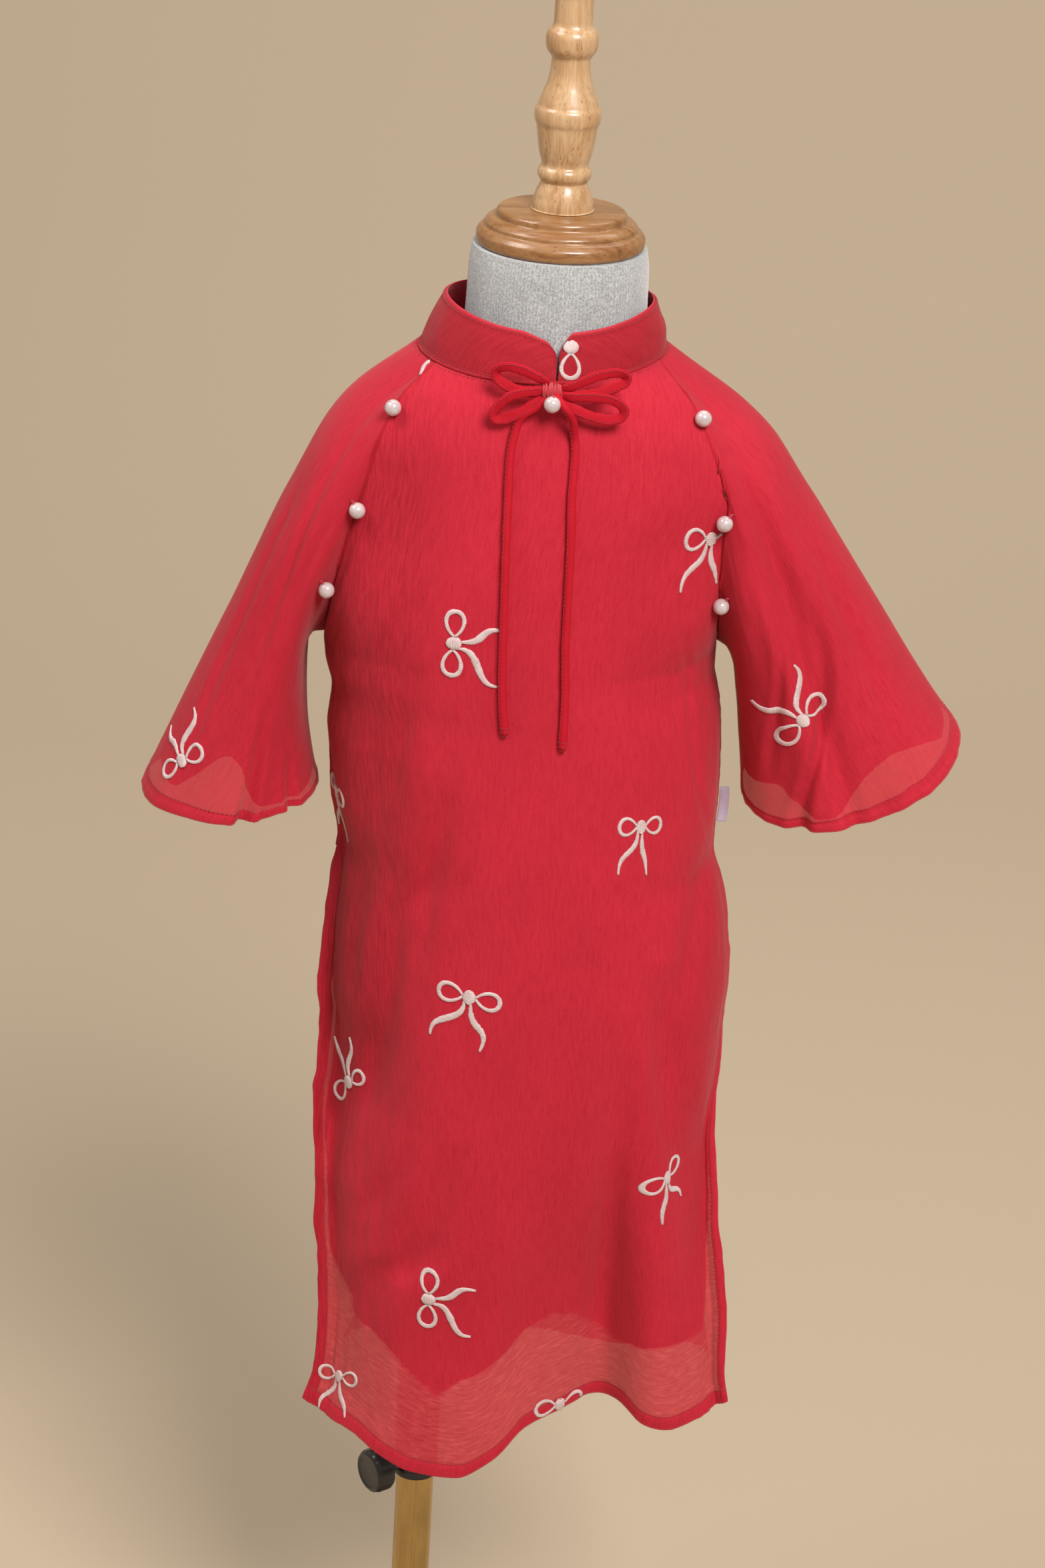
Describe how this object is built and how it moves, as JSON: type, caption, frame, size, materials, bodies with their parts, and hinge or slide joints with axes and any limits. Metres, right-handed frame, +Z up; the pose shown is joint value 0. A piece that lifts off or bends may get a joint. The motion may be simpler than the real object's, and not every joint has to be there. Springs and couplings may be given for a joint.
{
  "type": "child's ao dai tunic on a limbless dress form with stand",
  "caption": "Child's ao dai tunic with stand collar, bell sleeves, side slits, tied bow and beads, on a limbless dress form with wooden finial and mast on a round base.",
  "frame": {"origin": "centre of the base plate's underside, on the floor, straight below the middle of the neck", "axes": "+Z up, the front of the tunic faces -Y, +X is to the right of someone who looks at the front"},
  "size_m": [0.462, 0.28, 1.1515],
  "materials": {
    "red_georgette": "matt crinkled georgette, sheer where unlined",
    "collar_georgette": "matt crinkled georgette, interfaced and edge-stitched",
    "red_lining": "smooth plain-woven lining",
    "rouleau": "folded and edge-stitched strap",
    "pearl": "pearlescent coated bead",
    "label": "woven tape, blank",
    "grey_knit": "fine ribbed velvety knit over a foam form",
    "rubberwood": "satin varnish",
    "brass": "brushed brass plating on steel tube",
    "black_plastic": "moulded, satin",
    "base_paint": "satin black powder coat"
  },
  "bodies": {
    "stand": {"base_plate": "base_paint", "base_socket": "black_plastic", "mast_tube": "brass", "clamp_sleeve": "black_plastic"},
    "rod": {"upper_rod": "brass"},
    "dressed_form": {"front_panel": "red_georgette", "back_panel": "red_georgette", "sleeve_left": "red_georgette", "sleeve_right": "red_georgette", "collar_outer": "collar_georgette", "collar_inner": "red_lining", "lining_front": "red_lining", "lining_back": "red_lining", "lining_sleeve_left": "red_lining", "lining_sleeve_right": "red_lining", "bow_loop_upper_left": "rouleau", "bow_loop_lower_left": "rouleau", "bow_loop_upper_right": "rouleau", "bow_loop_lower_right": "rouleau", "bow_knot": "rouleau", "tie_tail_left": "rouleau", "tie_tail_right": "rouleau", "pearl_centre": "pearl", "pearl_left_1": "pearl", "pearl_left_2": "pearl", "pearl_left_3": "pearl", "pearl_right_1": "pearl", "pearl_right_2": "pearl", "pearl_right_3": "pearl", "side_label": "label", "form_torso": "grey_knit", "neck_cap": "rubberwood", "finial": "rubberwood", "form_socket": "black_plastic"},
    "knob": {"clamp_knob": "black_plastic"}
  },
  "joints": [
    {"name": "height_slide", "type": "slide", "parent": "stand", "child": "rod", "axis": [0, 0, 1], "range_m": [-0.06, 0.08]},
    {"name": "form_swivel", "type": "hinge", "parent": "rod", "child": "dressed_form", "pos_m": [-0.044, 0, 0.49], "axis": [0, 0, 1], "continuous": true},
    {"name": "knob_turn", "type": "hinge", "parent": "stand", "child": "knob", "pos_m": [-0.044, 0, 0.2305], "axis": [-0.8, -0.6, 0], "range_deg": [0, 360]}
  ]
}
